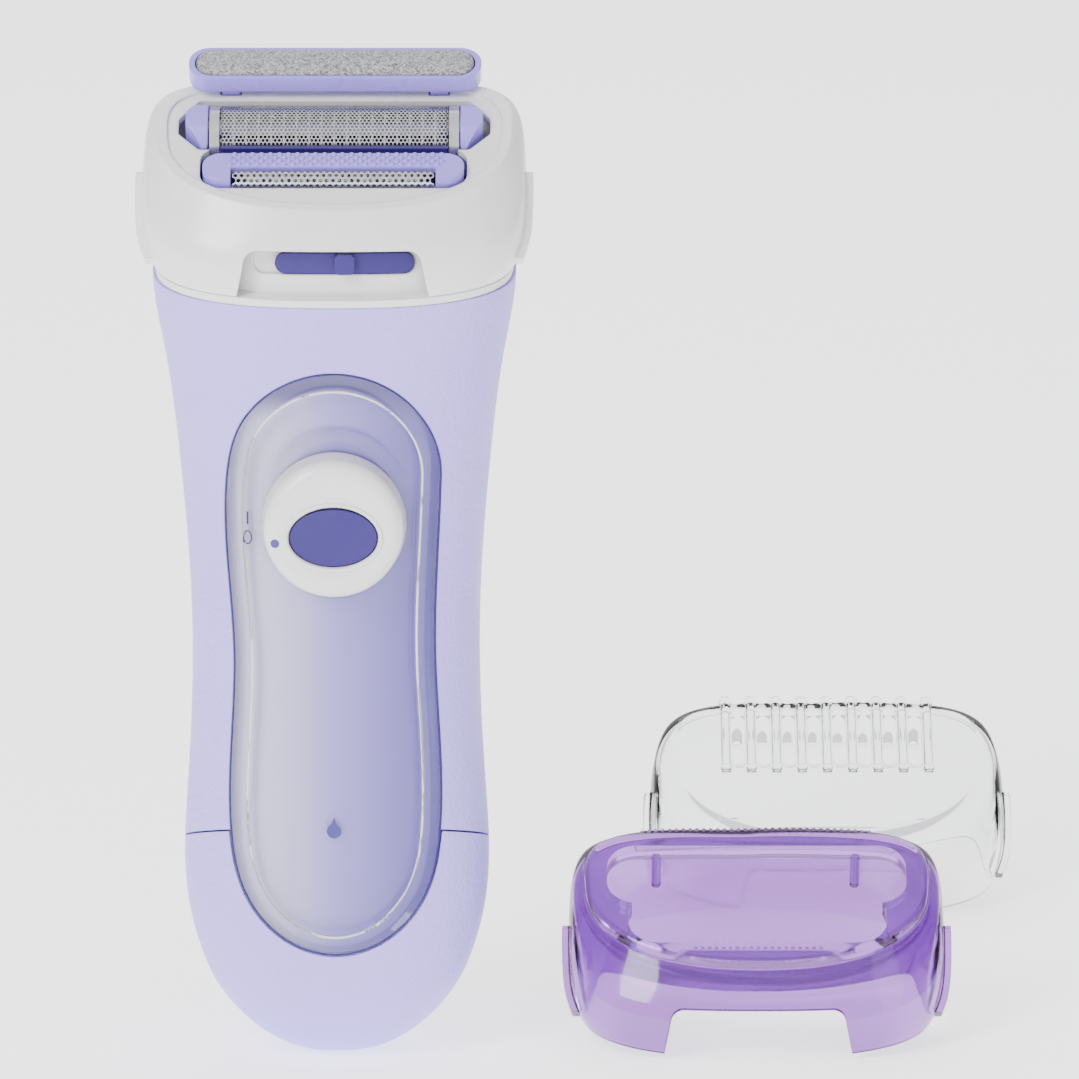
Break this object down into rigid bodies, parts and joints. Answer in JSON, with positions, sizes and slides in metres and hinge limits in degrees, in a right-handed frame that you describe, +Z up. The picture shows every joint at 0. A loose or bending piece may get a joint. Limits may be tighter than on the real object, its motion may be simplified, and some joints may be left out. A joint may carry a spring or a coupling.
{
  "type": "epilator",
  "caption": "Battery foil shaver for legs with a slide switch, floating foil and trimmer, an exfoliation cap on its head, and spare gliding and trimming caps.",
  "frame": {"origin": "the lowest point of the handle, on the handle's axis", "axes": "+Z up along the handle towards the head, -Y the front with the switch, +X the viewer's right"},
  "size_m": [0.149, 0.14, 0.165],
  "materials": {
    "lavender_satin": "fine leather grain, satin",
    "lavender_gloss": "smooth gloss",
    "window_clear": "clear, polished",
    "backing_lavender": "smooth, faded from pale to deep lavender",
    "white_gloss": "smooth gloss",
    "deep_purple": "satin",
    "foil_steel": "fine perforated",
    "blade_steel": "ground",
    "abrasive": "sparkling grit",
    "clear_cap": "clear, polished",
    "purple_cap": "clear purple, polished",
    "cell_wrap": "printed sleeve, plain",
    "contact_metal": "nickel plated",
    "motor_metal": "plated can",
    "inner_plastic": "moulded",
    "board_green": "solder resist",
    "seal_rubber": "soft"
  },
  "bodies": {
    "handle": {"front_shell": "lavender_satin", "rear_shell": "lavender_satin", "housing_screws": "blade_steel", "window_panel": "window_clear", "window_backing": "backing_lavender", "cell_left": "cell_wrap", "cell_right": "cell_wrap", "top_contact_right": "contact_metal", "top_contact_left": "contact_metal", "top_contact_spring": "contact_metal", "chassis": "inner_plastic", "circuit_board": "board_green", "board_capacitor": "motor_metal", "board_chips": "inner_plastic", "motor_can": "motor_metal", "motor_end_cap": "inner_plastic", "bridge_frame": "inner_plastic", "flexure_left": "white_gloss", "flexure_right": "white_gloss", "head_collar": "white_gloss", "drive_seal": "seal_rubber", "hair_tray": "deep_purple"},
    "battery_door": {"battery_cap": "lavender_satin", "cap_contact_plate": "contact_metal", "cap_contact_spring": "contact_metal", "cap_contact_stud": "contact_metal", "contact_carrier": "inner_plastic"},
    "switch": {"switch_knob": "white_gloss", "switch_slider": "inner_plastic", "lock_spring": "contact_metal"},
    "lock": {"lock_button": "deep_purple"},
    "selector": {"trimmer_selector": "deep_purple"},
    "rotor": {"motor_shaft": "blade_steel", "drive_crank": "white_gloss"},
    "swing": {"swing_bridge": "white_gloss", "drive_pin": "blade_steel", "cutter_yoke": "white_gloss"},
    "cutter": {"cutter_carrier": "inner_plastic", "cutter_blades": "blade_steel", "cutter_spring": "contact_metal"},
    "foil_head": {"foil_frame": "lavender_gloss", "foil": "foil_steel", "foil_band_left": "blade_steel", "foil_band_right": "blade_steel"},
    "trimmer": {"trimmer_housing": "lavender_gloss", "trimmer_comb": "blade_steel"},
    "trimmer_knife": {"trimmer_blade": "blade_steel"},
    "scrub_cap": {"exfoliation_cap": "white_gloss"},
    "scrub_pad": {"pad_holder": "lavender_gloss", "exfoliation_pad": "abrasive"},
    "glide_cap": {"gliding_cap": "purple_cap"},
    "comb_cap": {"trimming_cap": "clear_cap"}
  },
  "joints": [
    {"name": "battery_cap_slide", "type": "slide", "parent": "handle", "child": "battery_door", "axis": [0, 0, -1], "range_m": [0, 0.07]},
    {"name": "switch_slide", "type": "slide", "parent": "handle", "child": "switch", "axis": [0, 0, 1], "range_m": [0, 0.0033]},
    {"name": "lock_press", "type": "slide", "parent": "switch", "child": "lock", "axis": [0, 1, 0], "range_m": [0, 0.0008], "stiffness_N_per_m": 600, "deforming": ["lock_spring"]},
    {"name": "selector_slide", "type": "slide", "parent": "handle", "child": "selector", "axis": [-1, 0, 0], "range_m": [0, 0.0033]},
    {"name": "motor_spin", "type": "hinge", "parent": "handle", "child": "rotor", "pos_m": [0, 0.0018, 0.1], "axis": [0, 0, 1], "continuous": true},
    {"name": "cutter_swing", "type": "slide", "parent": "handle", "child": "swing", "axis": [1, 0, 0], "range_m": [-0.001, 0.001], "stiffness_N_per_m": 1500},
    {"name": "foil_float", "type": "slide", "parent": "handle", "child": "foil_head", "axis": [0, 0.5, -0.866], "range_m": [0, 0.0012], "stiffness_N_per_m": 800},
    {"name": "cutter_float", "type": "slide", "parent": "swing", "child": "cutter", "axis": [0, 0.5, -0.866], "range_m": [0, 0.0012], "stiffness_N_per_m": 400, "deforming": ["cutter_spring"]},
    {"name": "trimmer_float", "type": "slide", "parent": "handle", "child": "trimmer", "axis": [0, 0.5, -0.866], "range_m": [0, 0.001], "stiffness_N_per_m": 800},
    {"name": "trimmer_swing", "type": "slide", "parent": "trimmer", "child": "trimmer_knife", "axis": [1, 0, 0], "range_m": [-0.001, 0.001], "stiffness_N_per_m": 200},
    {"name": "scrub_cap_lift", "type": "slide", "parent": "handle", "child": "scrub_cap", "axis": [0, 0, 1], "range_m": [0, 0.05]},
    {"name": "pad_float", "type": "slide", "parent": "scrub_cap", "child": "scrub_pad", "axis": [0, 0.5, -0.866], "range_m": [0, 0.0008], "stiffness_N_per_m": 600},
    {"name": "glide_cap_lift", "type": "slide", "parent": "handle", "child": "glide_cap", "axis": [0, 0, 1], "range_m": [0, 0.08]},
    {"name": "comb_cap_lift", "type": "slide", "parent": "handle", "child": "comb_cap", "axis": [0, 0, 1], "range_m": [0, 0.08]}
  ],
  "couplings": [
    {"joint": "cutter_float", "follows": "foil_float", "ratio": 1},
    {"joint": "trimmer_swing", "follows": "cutter_swing", "ratio": 1}
  ]
}
